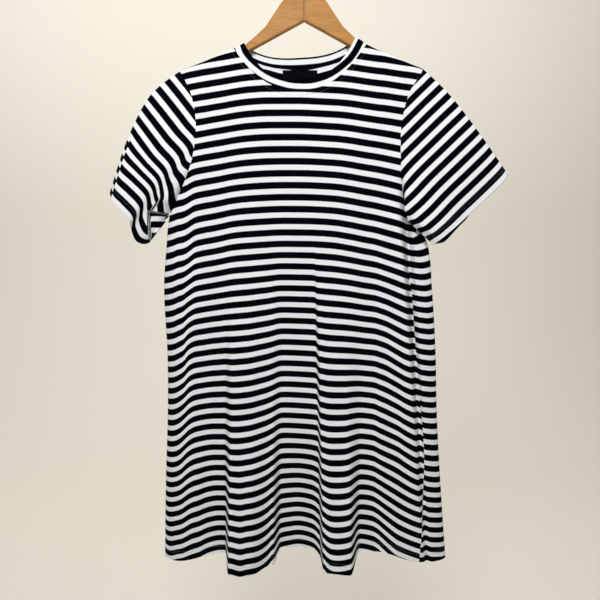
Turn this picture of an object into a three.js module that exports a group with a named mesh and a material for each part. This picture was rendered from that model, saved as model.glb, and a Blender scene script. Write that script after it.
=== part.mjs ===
// Short-sleeved striped jersey dress hanging on a flat wooden hanger.
// Millimetres, +Z up, the front of the dress faces -Y, and left and right are the viewer's.
// The origin is the point inside the hook's crown where it bears on a rod.
import * as THREE from 'three';

// Cloth
const CLOTH = 1.5; // wall of the jersey panels and sleeves
const HEM_CLOTH = 2.5; // wall where a hem is turned up and lies double
const HEM_TURN = 22; // height of the turned hems
const BAND_CLOTH = 2.0; // wall of the neckband, which is folded double
const SEAM_SHARE = 0.2; // each piece stops this far from a seam line
const LABEL_SIZE = { width: 58, height: 24, cloth: 0.8, gap: 0.4 };

// Where the dress sits on the hanger
const DRESS_X = -4.5; // middle of the dress beside the hook's line
const NECK_X = -7; // middle of the neck
const NECK_HALF = 110; // half width of the neck seam
const EDGE_HALF = 93.5; // half width of the neckband's free edge
const SHOULDER_HALF = 200; // half width from shoulder point to shoulder point
const WRAP = 10.5; // half depth of the cloth where it turns over the hanger
const SETTLE = 60; // distance below the shoulder line over which the body's own depth is reached
const PIT_Z = -424; // underarm level
const HEM_Z = -1024; // level of the hem where no fold moves it
const FRONT_NECK_DROP = 73;
const BACK_NECK_DROP = 34;
const NECK_CURVE = 2.3; // power of the neck seam's curve
const FRONT_EDGE_DROP = 65;
const BACK_EDGE_DROP = 26;
const EDGE_CURVE = 2.9; // power of the free edge's curve

// Crown of the shoulders: height of the cloth's outside over the hanger, by distance from the middle
const SHOULDER_LINE = [
  { x: 0, z: -92 },
  { x: 64, z: -112 },
  { x: 80, z: -125 },
  { x: 92, z: -134.5 },
  { x: 108, z: -144.5 },
  { x: 150, z: -163 },
  { x: 200, z: -182.5 },
  { x: 240, z: -198 },
];

// Side edges of the body by level: armholes above the underarm, side folds below it.
// front and back are the depths of the two sides of the hollow body from its middle plane.
const BODY = [
  { z: -140, left: -204.5, right: 195.5, front: 10.5, back: 10.5 },
  { z: -182, left: -204.5, right: 195.5, front: 10.5, back: 10.5 },
  { z: -222, left: -187, right: 173, front: 12, back: 11 },
  { z: -272, left: -179, right: 161, front: 13.5, back: 11.5 },
  { z: -329, left: -186, right: 160, front: 15, back: 12 },
  { z: -368, left: -201, right: 163, front: 16, back: 13 },
  { z: -398, left: -216, right: 170, front: 16.5, back: 13.5 },
  { z: -424, left: -228, right: 185, front: 17, back: 14 },
  { z: -470, left: -234, right: 210, front: 18, back: 15 },
  { z: -548, left: -240, right: 219.5, front: 20, back: 17 },
  { z: -660, left: -236.5, right: 228, front: 23, back: 20 },
  { z: -760, left: -238, right: 232, front: 25, back: 23 },
  { z: -886, left: -244, right: 241, front: 27, back: 26 },
  { z: -1060, left: -249.5, right: 256, front: 29, back: 29 },
];

// Fold lines of the front, left to right. top and hem are a line's places at the underarm and the hem.
// It begins at the start level, stands forward by half at the middle level and by full at the hem,
// and drop lowers the hem there.
const FRONT_FOLDS = [
  { name: 'left edge', top: -250, hem: -262, start: -420, middle: -600, half: 0, full: 0, drop: -1 },
  { name: 'left roll', top: -212, hem: -226, start: -330, middle: -560, half: 7, full: 4, drop: -2 },
  { name: 'left drag', top: -176, hem: -150, start: -330, middle: -560, half: -5, full: -14, drop: -10 },
  { name: 'left foot', top: -134, hem: -140, start: -560, middle: -760, half: -3, full: -12, drop: -13 },
  { name: 'left crest', top: -116, hem: -127, start: -480, middle: -760, half: 11, full: 38, drop: 1 },
  { name: 'left crest end', top: -88, hem: -98, start: -480, middle: -760, half: 7, full: 30, drop: 9 },
  { name: 'left flank', top: -58, hem: -54, start: -480, middle: -760, half: -2, full: 0, drop: 3 },
  { name: 'valley', top: -34, hem: -42, start: -440, middle: -760, half: -11, full: -35, drop: -11 },
  { name: 'valley end', top: 10, hem: 14, start: -440, middle: -760, half: -11, full: -35, drop: -11 },
  { name: 'right flank', top: 13, hem: 29, start: -440, middle: -760, half: -10, full: -28, drop: 1 },
  { name: 'right crest', top: 22, hem: 33, start: -440, middle: -760, half: 11, full: 33, drop: 0 },
  { name: 'right crest end', top: 62, hem: 78, start: -440, middle: -760, half: 10, full: 38, drop: 1 },
  { name: 'right valley', top: 102, hem: 98, start: -520, middle: -800, half: -3, full: -14, drop: -16 },
  { name: 'right valley end', top: 122, hem: 124, start: -520, middle: -800, half: -3, full: -14, drop: -14 },
  { name: 'right bulge', top: 162, hem: 200, start: -330, middle: -500, half: 11, full: 8, drop: -4 },
  { name: 'right tuck', top: 174, hem: 226, start: -330, middle: -500, half: -7, full: 2, drop: 0 },
  { name: 'right edge', top: 232, hem: 268, start: -420, middle: -600, half: 0, full: 0, drop: 2 },
];

// Fold lines of the back, which hangs close to a wall and is flatter
const BACK_FOLDS = [
  { name: 'left edge', top: -250, hem: -262, start: -420, middle: -600, half: 0, full: 0, drop: -1 },
  { name: 'left crest', top: -150, hem: -168, start: -460, middle: -760, half: 4, full: 11, drop: 1 },
  { name: 'left valley', top: -90, hem: -98, start: -460, middle: -760, half: -4, full: -9, drop: -3 },
  { name: 'middle crest', top: -14, hem: -22, start: -420, middle: -760, half: 5, full: 12, drop: 1 },
  { name: 'right valley', top: 62, hem: 70, start: -480, middle: -780, half: -4, full: -8, drop: -3 },
  { name: 'right crest', top: 138, hem: 154, start: -460, middle: -760, half: 4, full: 10, drop: 1 },
  { name: 'right edge', top: 232, hem: 268, start: -420, middle: -600, half: 0, full: 0, drop: 2 },
];

// Where the right side seam lies on the front of the body, as a share of the half width.
// The dress is turned a little on the hanger, so the left seam lies round at the back.
const SIDE_SEAM = [
  { z: -424, turn: 0 },
  { z: -470, turn: 0.23 },
  { z: -560, turn: 0.247 },
  { z: -650, turn: 0.255 },
  { z: -815, turn: 0.23 },
  { z: -900, turn: 0.248 },
  { z: -984, turn: 0.29 },
  { z: -1060, turn: 0.335 },
];

// Cuffs: points of the sleeve's open end by share of the way from the top fold to the underarm.
// front and back are the depths in Y of the two layers there.
const LEFT_CUFF = [
  { share: 0.0, x: -325, z: -385, front: -12, back: -12 },
  { share: 0.12, x: -317, z: -397, front: -27, back: 2 },
  { share: 0.3, x: -303, z: -411, front: -32, back: 7 },
  { share: 0.48, x: -287, z: -430, front: -31, back: 9 },
  { share: 0.62, x: -289, z: -446, front: -18, back: 9 },
  { share: 0.8, x: -282, z: -464, front: -17, back: 8 },
  { share: 0.92, x: -271, z: -470, front: -13, back: 5 },
  { share: 1.0, x: -263, z: -468, front: -4, back: -4 },
];
const RIGHT_CUFF = [
  { share: 0.0, x: 342, z: -355, front: -7, back: -7 },
  { share: 0.1, x: 330, z: -367, front: -19, back: 5 },
  { share: 0.35, x: 300, z: -396, front: -24, back: 9 },
  { share: 0.65, x: 263, z: -431, front: -25, back: 7 },
  { share: 0.9, x: 235, z: -459, front: -25, back: -5 },
  { share: 1.0, x: 223.5, z: -470, front: -15, back: -15 },
];
// crown lifts the sleeve's top line over the straight one, along outX and outZ, swell parts its two
// layers, and sag lets the front layer hang over the underarm
const SLEEVES = {
  left: { crown: 24, crownAt: 0.33, swell: 7, sag: 6, outX: -0.86, outZ: 0.51 },
  right: { crown: 8, crownAt: 0.35, swell: 5, sag: 12, outX: 0.75, outZ: 0.66 },
};

// Hanger
const HANGER_DEPTH = 13;
const HANGER_EDGE = 2; // rounding of the arms' long edges
const HANGER_TIP = 190; // half width
const ARM_JOINT = 0.3; // glue line between the arms
const TIP_ROUND = { length: 8, height: 5 }; // rounding of the arms' ends
const HANGER_BELOW = [
  { x: 0, z: -105 },
  { x: 92, z: -153.5 },
  { x: 150, z: -183 },
  { x: 190, z: -203 },
];
const HANGER_ABOVE = [
  { x: 0, z: -57.5 },
  { x: 13, z: -58 },
  { x: 24, z: -63 },
  { x: 36, z: -76 },
  { x: 48, z: -94 },
  { x: 62, z: -114 },
  { x: 80, z: -130.5 },
  { x: 92, z: -140.5 },
  { x: 108, z: -150 },
  { x: 150, z: -167.2 },
  { x: 190, z: -182.8 },
];
const HOOK = { wire: 3.6, crown: 20, stemGap: 0.3, sides: 5, steps: 36 };

// Mesh density
const YOKE_ROWS = 10;
const SKIRT_ROWS = 15;
const SHOULDER = [1, 0.967, 0.87, 0.7, 0.48, 0.24]; // columns of a shoulder, by share of it from the neck
const FRONT_NECK = [1, 0.988, 0.96, 0.9, 0.82, 0.73, 0.63, 0.53, 0.42, 0.31, 0.2, 0.07];
const BACK_NECK = [1, 0.988, 0.96, 0.88, 0.68, 0.4, 0.13];
const BAND_ROWS = 3;
const SLEEVE_ROWS = 8;
const LABEL_COLUMNS = 6;

// Small numbers
const clamp = (value) => Math.min(1, Math.max(0, value));
const ease = (value) => clamp(value) ** 2 * (3 - 2 * clamp(value));
const mix = (a, b, share) => a + (b - a) * share;

// Reads a column of a table at a key's value, on a smooth curve through the rows.
function read(table, key, value, column) {
  const last = table.length - 1;
  const rising = table[last][key] > table[0][key];
  const at = (i) => table[Math.min(last, Math.max(0, i))];
  let i = 0;
  while (i < last - 1 && (rising ? value > table[i + 1][key] : value < table[i + 1][key])) i += 1;
  const [before, a, b, after] = [at(i - 1), at(i), at(i + 1), at(i + 2)];
  const span = b[key] - a[key];
  const share = clamp((value - a[key]) / span);
  const slopeA = ((b[column] - before[column]) / (b[key] - before[key])) * span;
  const slopeB = ((after[column] - a[column]) / (after[key] - a[key])) * span;
  const [s2, s3] = [share ** 2, share ** 3];
  return (2 * s3 - 3 * s2 + 1) * a[column] + (s3 - 2 * s2 + share) * slopeA
    + (3 * s2 - 2 * s3) * b[column] + (s3 - s2) * slopeB;
}

// Depth and drop that the fold lines give at a point of a panel.
function folds(table, x, z) {
  const lines = table.map((line) => {
    const down = clamp((PIT_Z - z) / (PIT_Z - HEM_Z));
    const growth = ease((line.start - z) / (line.start - line.middle));
    const rest = clamp((line.middle - z) / (line.middle - HEM_Z));
    const forward = mix(line.half * growth, line.full, rest);
    return { x: mix(line.top, line.hem, down), forward, drop: line.drop };
  });
  let i = 0;
  while (i < lines.length - 2 && x > lines[i + 1].x) i += 1;
  const share = ease((x - lines[i].x) / (lines[i + 1].x - lines[i].x));
  return {
    forward: mix(lines[i].forward, lines[i + 1].forward, share),
    drop: mix(lines[i].drop, lines[i + 1].drop, share),
  };
}

// A body section runs from its left fold edge (-1) over the front to its right one (1) and back (3).
const EDGE_EASE = 0.25; // share of the half width over which a fold edge rounds off
const EDGE_POWER = 8;
const EDGE_SPEED = 1 / (1 - EDGE_EASE / 2);
function across(turn) {
  const size = Math.abs(turn);
  const share = size < 1 - EDGE_EASE
    ? EDGE_SPEED * size
    : 1 - (EDGE_SPEED * (1 - size) ** 2) / (2 * EDGE_EASE);
  return Math.sign(turn) * share;
}
const roundEdge = (share) => Math.sqrt(Math.max(0, 1 - Math.abs(share) ** EDGE_POWER));

// Place across the body of a share of its half width at a level.
function sectionX(share, z) {
  const [left, right] = [read(BODY, 'z', z, 'left'), read(BODY, 'z', z, 'right')];
  return (left + right) / 2 + ((right - left) / 2) * share;
}

const shoulderZ = (x) => read(SHOULDER_LINE, 'x', Math.abs(x), 'z');
const ROUND_FROM = -330; // above this level the sides are open armholes

// Depth of a side of the dress from its middle plane, rounded over the hanger near the shoulder line.
function sheetDepth(x, z, side) {
  const below = shoulderZ(x) - z;
  const over = 1 - clamp(below / WRAP);
  const more = (read(BODY, 'z', z, side) - WRAP) * ease(below / SETTLE);
  return WRAP * Math.sqrt(1 - over ** 2) + more;
}

// Point of a panel at a turn of the section. Under the arms the section is closed, so a panel's
// edge may lie round on the other side. slide moves a point sideways in the yoke.
function bodyPoint(side, sectionTurn, z, slide = 0) {
  const turn = sectionTurn < -1 ? sectionTurn + 4 : sectionTurn;
  const onFront = z > PIT_Z ? side === 'front' : turn <= 1;
  const share = across(turn <= 1 ? turn : 2 - turn);
  const x = sectionX(share, z) + slide;
  const closing = ease((ROUND_FROM - z) / (ROUND_FROM - PIT_Z));
  const edge = mix(1, roundEdge(share), closing);
  const fold = folds(onFront ? FRONT_FOLDS : BACK_FOLDS, x, z).forward;
  const depth = (sheetDepth(x, z, onFront ? 'front' : 'back') + fold) * edge;
  return new THREE.Vector3(x, onFront ? -depth : depth, z);
}

// Level of the line between the two neck points, at a share of the half width.
function neckPointZ(share, half) {
  return mix(shoulderZ(NECK_X - half), shoulderZ(NECK_X + half), (share + 1) / 2);
}

// Level of a panel's top edge: shoulder seam, or neck seam between the neck points.
function topZ(x, neckDrop) {
  const share = (x - NECK_X) / NECK_HALF;
  if (Math.abs(share) >= 1) return shoulderZ(x);
  return neckPointZ(share, NECK_HALF) - neckDrop * (1 - Math.abs(share) ** NECK_CURVE);
}

// Levels of a panel's rows along one column: close rows over the shoulder, then even ones.
const CROWN_STEPS = [0, 2.6, 9];
function columnLevels(top, hem) {
  const crown = CROWN_STEPS.map((step) => top - step);
  const yokeEven = YOKE_ROWS - crown.length + 1;
  const yoke = Array.from({ length: yokeEven }, (_, i) => mix(crown.at(-1), PIT_Z, (i + 1) / yokeEven));
  const skirtEven = SKIRT_ROWS - 1;
  const hemFold = hem + HEM_TURN;
  const skirt = Array.from({ length: skirtEven }, (_, i) => mix(PIT_Z, hemFold, (i + 1) / skirtEven));
  return [...crown, ...yoke, ...skirt, hem];
}

// Places of the columns along the top edge, from the left shoulder point to the right one.
function columnTops(neck) {
  const side = (sign) => {
    const point = DRESS_X + sign * SHOULDER_HALF;
    const neckPoint = NECK_X + sign * NECK_HALF;
    const shoulder = SHOULDER.map((share) => mix(neckPoint, point, share));
    return [...shoulder, ...neck.map((share) => NECK_X + sign * share * NECK_HALF)];
  };
  return [...side(-1), ...side(1).reverse()];
}
// Turn whose share of the half width is the given one.
function turnOf(share) {
  const size = Math.abs(share);
  const straight = EDGE_SPEED * (1 - EDGE_EASE);
  const turn = size < straight
    ? size / EDGE_SPEED
    : 1 - Math.sqrt(((1 - size) * 2 * EDGE_EASE) / EDGE_SPEED);
  return Math.sign(share) * turn;
}

// How far the folds lower the hem at a turn of its section.
function hemDrop(turn) {
  const onFront = turn >= -1 && turn <= 1;
  return folds(onFront ? FRONT_FOLDS : BACK_FOLDS, bodyPoint('front', turn, HEM_Z).x, HEM_Z).drop;
}

// Grid of a body panel: columns from one side seam to the other, rows from the top edge to the hem.
function panelGrid(side) {
  const front = side === 'front';
  const tops = columnTops(front ? FRONT_NECK : BACK_NECK);
  const neckDrop = front ? FRONT_NECK_DROP : BACK_NECK_DROP;
  return (front ? tops : tops.reverse()).map((topX) => {
    const column = (topX - DRESS_X) / SHOULDER_HALF;
    const top = topZ(topX, neckDrop);
    const topSlide = topX - sectionX(column, top);
    const slide = (z) => topSlide * (1 - ease((top - z) / (top - PIT_Z)));
    const seamShift = (z) => (z < PIT_Z ? read(SIDE_SEAM, 'z', z, 'turn') : 0);
    const turnAt = (z) => (front ? turnOf(column) : 2 - turnOf(column)) - seamShift(z);
    const hem = HEM_Z - hemDrop(turnAt(HEM_Z));
    return columnLevels(top, hem).map((z) => bodyPoint(side, turnAt(z), z, slide(z)));
  });
}

// Grid of the neckband: a ring of columns that meet the neck seam, rows from the seam to the free edge.
function bandGrid() {
  const half = (neck, sign) => {
    const there = neck.map((share) => [share * sign, neck]);
    const onwards = [...neck].reverse().map((share) => [-share * sign, neck]);
    return [...there, ...onwards];
  };
  const ring = [...half(FRONT_NECK, -1), ...half(BACK_NECK, 1).slice(1, -1)];
  return ring.map(([share, neck]) => {
    const front = neck === FRONT_NECK;
    const seamX = NECK_X + share * NECK_HALF;
    const edgeX = NECK_X + share * EDGE_HALF;
    const seamZ = topZ(seamX, front ? FRONT_NECK_DROP : BACK_NECK_DROP);
    const edgeDrop = (front ? FRONT_EDGE_DROP : BACK_EDGE_DROP) * (1 - Math.abs(share) ** EDGE_CURVE);
    const edgeZ = neckPointZ(share, EDGE_HALF) - edgeDrop;
    return Array.from({ length: BAND_ROWS + 1 }, (_, row) => {
      const x = mix(seamX, edgeX, row / BAND_ROWS);
      const z = mix(seamZ, edgeZ, row / BAND_ROWS);
      return new THREE.Vector3(x, front ? -sheetDepth(x, z, 'front') : sheetDepth(x, z, 'back'), z);
    });
  });
}

// Grid of a sleeve: a ring of columns from the shoulder over the front to the underarm and back,
// rows from the armhole to the cuff.
function sleeveGrid(side, frontGrid, backGrid) {
  const left = side === 'left';
  const frontEdge = (left ? frontGrid[0] : frontGrid.at(-1)).slice(0, YOKE_ROWS + 1);
  const backEdge = (left ? backGrid.at(-1) : backGrid[0]).slice(0, YOKE_ROWS + 1);
  const cuff = left ? LEFT_CUFF : RIGHT_CUFF;
  const { crown, crownAt, swell, sag, outX, outZ } = SLEEVES[side];
  const outward = new THREE.Vector3(outX, 0, outZ);
  const column = (edge, row, layer) => {
    const from = edge[row];
    const share = (edge[0].z - from.z) / (edge[0].z - PIT_Z);
    const to = new THREE.Vector3(...['x', layer, 'z'].map((name) => read(cuff, 'share', share, name)));
    return Array.from({ length: SLEEVE_ROWS + 1 }, (_, i) => {
      const along = i / SLEEVE_ROWS;
      const bow = along < crownAt
        ? Math.sin((along / crownAt) * Math.PI / 2)
        : Math.cos(((along - crownAt) / (1 - crownAt)) * Math.PI / 2);
      const middle = Math.sin(Math.PI * along);
      const point = from.clone().lerp(to, along);
      point.addScaledVector(outward, crown * bow * (1 - ease(share / 0.75)));
      point.y += (layer === 'front' ? -1 : 1) * swell * middle * Math.sin(Math.PI * clamp(share)) ** 0.5;
      if (layer === 'front') {
        const hang = sag * middle * ease((share - 0.45) / 0.35) * (1 - ease((share - 0.85) / 0.15));
        point.z -= hang;
        point.y -= 0.5 * hang;
      }
      return point;
    });
  };
  const rows = Array.from({ length: YOKE_ROWS + 1 }, (_, i) => i);
  const frontColumns = rows.map((row) => column(frontEdge, row, 'front'));
  const backColumns = rows.slice(1, -1).reverse().map((row) => column(backEdge, row, 'back'));
  const ring = [...frontColumns, ...backColumns];
  return left ? ring : ring.reverse();
}

// Outward normals of a grid whose columns run to the right and rows down, seen from outside.
function gridNormals(grid, ring) {
  const columns = grid.length;
  return grid.map((column, i) => column.map((_, j) => {
    const right = ring ? grid[(i + 1) % columns] : grid[Math.min(columns - 1, i + 1)];
    const left = ring ? grid[(i + columns - 1) % columns] : grid[Math.max(0, i - 1)];
    const acrossWay = right[j].clone().sub(left[j]);
    const downWay = column[Math.min(column.length - 1, j + 1)].clone().sub(column[Math.max(0, j - 1)]);
    return downWay.cross(acrossWay).normalize();
  }));
}

const FACING = -0.3; // normals that face each other more than this are not shared
const pointKey = (p) => [p.x, p.y, p.z].map((value) => Math.round(value * 40 + 0.1234)).join(' ');

// Pieces that share a seam point take the mean of their normals there, so their edges stay parallel.
// Where two pieces face each other, as under the arm, each keeps its own.
function shareSeamNormals(pieces) {
  const met = new Map();
  const corners = pieces.flatMap(({ grid, normals }) => grid.flatMap((column, i) => column.map((p, j) => ({
    key: pointKey(p), own: normals[i][j].clone(), set: (normal) => normals[i][j].copy(normal),
  }))));
  corners.forEach(({ key, own }) => met.set(key, [...(met.get(key) ?? []), own]));
  corners.forEach(({ key, own, set }) => {
    const alike = met.get(key).filter((other) => other.dot(own) > FACING);
    set(alike.reduce((sum, other) => sum.add(other), new THREE.Vector3()).normalize());
  });
}

// Grid with its seam edges drawn back along the cloth. edges names those that meet another piece.
function drawBack({ grid, normals, ring, edges }) {
  const [lastColumn, lastRow] = [grid.length - 1, grid[0].length - 1];
  return grid.map((column, i) => column.map((p, j) => {
    const moved = p.clone();
    const pull = (towards, before, after) => {
      const way = after.clone().sub(before).cross(normals[i][j]).normalize();
      moved.addScaledVector(way, Math.sign(way.dot(towards.clone().sub(p))) * SEAM_SHARE);
    };
    const next = ring ? grid[(i + 1) % grid.length] : grid[Math.min(lastColumn, i + 1)];
    const previous = ring ? grid[(i + lastColumn) % grid.length] : grid[Math.max(0, i - 1)];
    const above = column[Math.max(0, j - 1)];
    const below = column[Math.min(lastRow, j + 1)];
    if (edges.top && j === 0) pull(below, previous[j], next[j]);
    if (edges.bottom && j === lastRow) pull(above, previous[j], next[j]);
    if (edges.sides && i === 0) pull(next[j], above, below);
    if (edges.sides && i === lastColumn) pull(previous[j], above, below);
    return moved;
  }));
}

// Closed wall of cloth on a grid of outside points. thickness gives the wall at a row.
function wall(piece, thickness) {
  const { normals, ring } = piece;
  const outside = drawBack(piece);
  const rows = outside[0].length;
  const columns = outside.length;
  const inset = (p, i, j) => p.clone().addScaledVector(normals[i][j], -thickness(j));
  const inside = outside.map((column, i) => column.map((p, j) => inset(p, i, j)));
  const positions = [...outside, ...inside].flat().flatMap((p) => [p.x, p.y, p.z]);
  const outer = (i, j) => (i % columns) * rows + j;
  const inner = (i, j) => columns * rows + outer(i, j);
  const triangles = [];
  const quad = (a, b, c, d) => triangles.push(a, b, c, a, c, d);
  const last = columns - 1;
  const spans = ring ? columns : last;
  for (let i = 0; i < spans; i += 1) {
    for (let j = 0; j < rows - 1; j += 1) {
      quad(outer(i, j), outer(i, j + 1), outer(i + 1, j + 1), outer(i + 1, j));
      quad(inner(i, j), inner(i + 1, j), inner(i + 1, j + 1), inner(i, j + 1));
    }
    quad(outer(i, 0), outer(i + 1, 0), inner(i + 1, 0), inner(i, 0));
    quad(outer(i, rows - 1), inner(i, rows - 1), inner(i + 1, rows - 1), outer(i + 1, rows - 1));
  }
  if (!ring) {
    for (let j = 0; j < rows - 1; j += 1) {
      quad(outer(0, j), inner(0, j), inner(0, j + 1), outer(0, j + 1));
      quad(outer(last, j), outer(last, j + 1), inner(last, j + 1), inner(last, j));
    }
  }
  const geometry = new THREE.BufferGeometry();
  geometry.setAttribute('position', new THREE.Float32BufferAttribute(positions, 3));
  geometry.setIndex(triangles);
  geometry.computeVertexNormals();
  return geometry;
}

// Blank woven label sewn inside the back of the neck, on the back panel's inner points.
function labelGeometry() {
  const top = topZ(NECK_X, BACK_NECK_DROP) - 1.5;
  const grid = Array.from({ length: LABEL_COLUMNS + 1 }, (_, i) => [0, 1].map((row) => {
    const x = NECK_X + LABEL_SIZE.width * (0.5 - i / LABEL_COLUMNS);
    const z = top - row * LABEL_SIZE.height;
    return new THREE.Vector3(x, sheetDepth(x, z, 'back') - CLOTH - LABEL_SIZE.gap, z);
  }));
  const piece = { grid, normals: gridNormals(grid, false), ring: false, edges: {} };
  return wall(piece, () => LABEL_SIZE.cloth);
}

// One wooden arm of the hanger: its side outline, extruded with rounded long edges.
function armGeometry(side) {
  const sign = side === 'left' ? -1 : 1;
  const woodTop = (x) => read(HANGER_ABOVE, 'x', x, 'z');
  const woodBelow = (x) => read(HANGER_BELOW, 'x', x, 'z');
  const inset = HANGER_EDGE;
  const shoulderStations = [14, 24, 36, 48, 62, 80, 96, 112, 132, 152, 172];
  const tipStart = HANGER_TIP - TIP_ROUND.length;
  const stations = [ARM_JOINT / 2 + inset, ...shoulderStations, tipStart, HANGER_TIP - inset];
  const tipDrop = (x) => (x > tipStart ? TIP_ROUND.height : 0);
  const upper = stations.map((x) => new THREE.Vector2(sign * x, woodTop(x) - inset - tipDrop(x)));
  const lower = stations.map((x) => new THREE.Vector2(sign * x, woodBelow(x) + inset + tipDrop(x)));
  const outline = [...upper, ...lower.reverse()];
  const shape = new THREE.Shape(sign > 0 ? outline.reverse() : outline);
  const geometry = new THREE.ExtrudeGeometry(shape, {
    depth: HANGER_DEPTH - 2 * HANGER_EDGE, steps: 1, bevelEnabled: true,
    bevelThickness: HANGER_EDGE, bevelSize: inset, bevelSegments: 2,
  });
  geometry.translate(0, 0, -(HANGER_DEPTH - 2 * HANGER_EDGE) / 2);
  return geometry.rotateX(Math.PI / 2);
}

// Wire hook: a stem out of the wood that swings aside and over the crown.
function hookGeometry() {
  const centre = -(HOOK.crown - HOOK.wire / 2);
  const stem = [[0, HANGER_ABOVE[0].z + HOOK.stemGap], [0, -50], [2.5, -43.5], [9, -38], [16, -30.5]];
  const crown = Array.from({ length: 12 }, (_, i) => {
    const angle = mix(-10, 205, i / 11) * (Math.PI / 180);
    return [HOOK.crown * Math.cos(angle), centre + HOOK.crown * Math.sin(angle)];
  });
  const path = new THREE.CatmullRomCurve3([...stem, ...crown].map(([x, z]) => new THREE.Vector3(x, 0, z)));
  const section = new THREE.Shape();
  section.absarc(0, 0, HOOK.wire / 2, 0, 2 * Math.PI);
  return new THREE.ExtrudeGeometry(section, {
    steps: HOOK.steps, extrudePath: path, curveSegments: HOOK.sides, bevelEnabled: false,
  });
}

// Materials
const jersey = new THREE.MeshStandardMaterial({ color: 0x8a8b8f, roughness: 0.85, metalness: 0 });
const ribbing = new THREE.MeshStandardMaterial({ color: 0xb9babd, roughness: 0.85, metalness: 0 });
const labelCloth = new THREE.MeshStandardMaterial({ color: 0x0c0c0f, roughness: 0.6, metalness: 0 });
const beech = new THREE.MeshStandardMaterial({ color: 0xd39a5c, roughness: 0.4, metalness: 0 });
const steel = new THREE.MeshStandardMaterial({ color: 0xc8cacd, roughness: 0.25, metalness: 1 });

// Assembly
const dress = new THREE.Group();
function add(name, geometry, material) {
  const mesh = new THREE.Mesh(geometry, material);
  mesh.name = name;
  dress.add(mesh);
}

const frontGrid = panelGrid('front');
const backGrid = panelGrid('back');
const clothPiece = (grid, ring, edges) => ({ grid, normals: gridNormals(grid, ring), ring, edges });
const cloth = {
  front: clothPiece(frontGrid, false, { top: true, sides: true }),
  back: clothPiece(backGrid, false, { top: true, sides: true }),
  sleeve_left: clothPiece(sleeveGrid('left', frontGrid, backGrid), true, { top: true }),
  sleeve_right: clothPiece(sleeveGrid('right', frontGrid, backGrid), true, { top: true }),
  neckband: clothPiece(bandGrid().map((column) => column.reverse()), true, { bottom: true }),
};
shareSeamNormals(Object.values(cloth));

const hemmed = (rows) => (row) => (row >= rows - 2 ? HEM_CLOTH : CLOTH);
add('front', wall(cloth.front, hemmed(frontGrid[0].length)), jersey);
add('back', wall(cloth.back, hemmed(backGrid[0].length)), jersey);
add('sleeve_left', wall(cloth.sleeve_left, hemmed(SLEEVE_ROWS + 1)), jersey);
add('sleeve_right', wall(cloth.sleeve_right, hemmed(SLEEVE_ROWS + 1)), jersey);
add('neckband', wall(cloth.neckband, () => BAND_CLOTH), ribbing);
add('label', labelGeometry(), labelCloth);
add('hanger_arm_left', armGeometry('left'), beech);
add('hanger_arm_right', armGeometry('right'), beech);
add('hanger_hook', hookGeometry(), steel);

export default dress;
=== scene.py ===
import bpy
import numpy as np
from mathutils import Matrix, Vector


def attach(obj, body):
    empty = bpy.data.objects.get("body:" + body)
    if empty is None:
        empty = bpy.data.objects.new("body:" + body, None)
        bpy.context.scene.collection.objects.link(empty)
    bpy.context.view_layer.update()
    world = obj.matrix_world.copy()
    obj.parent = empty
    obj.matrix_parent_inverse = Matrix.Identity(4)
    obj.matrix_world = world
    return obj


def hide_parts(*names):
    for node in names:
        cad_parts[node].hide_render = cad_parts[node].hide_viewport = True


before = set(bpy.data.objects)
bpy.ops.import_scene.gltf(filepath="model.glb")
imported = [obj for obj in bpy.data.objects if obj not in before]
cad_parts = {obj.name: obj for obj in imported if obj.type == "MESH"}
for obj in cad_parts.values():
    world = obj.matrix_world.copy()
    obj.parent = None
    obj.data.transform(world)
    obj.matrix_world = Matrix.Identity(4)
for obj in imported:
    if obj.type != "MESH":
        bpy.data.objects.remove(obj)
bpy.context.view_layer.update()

# HANGER ARMS
# Two flat beech arms, butted and glued at the middle, with rounded long edges and a clear satin varnish.
# They are the frame's own solids; the grain runs along each arm.
ARM_SLOPE = np.radians(26)  # of the arms and of their grain, from the level
BEECH_PALE = (0.50, 0.232, 0.05, 1)
BEECH_DARK = (0.372, 0.157, 0.031, 1)


def new_material(name, roughness, metallic=0.0):
    """Empty principled material: its node tree, its shader and a function that adds and sets a node."""
    material = bpy.data.materials.new(name)
    material.use_nodes = True
    tree = material.node_tree
    shader = tree.nodes["Principled BSDF"]
    shader.inputs["Roughness"].default_value = roughness
    shader.inputs["Metallic"].default_value = metallic

    def add(kind, inputs=(), **settings):
        node = tree.nodes.new("ShaderNode" + kind)
        for key, value in settings.items():
            setattr(node, key, value)
        for key, value in dict(inputs).items():
            if isinstance(value, bpy.types.NodeSocket):
                tree.links.new(value, node.inputs[key])
            else:
                node.inputs[key].default_value = value
        return node

    return material, tree, shader, add


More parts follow.
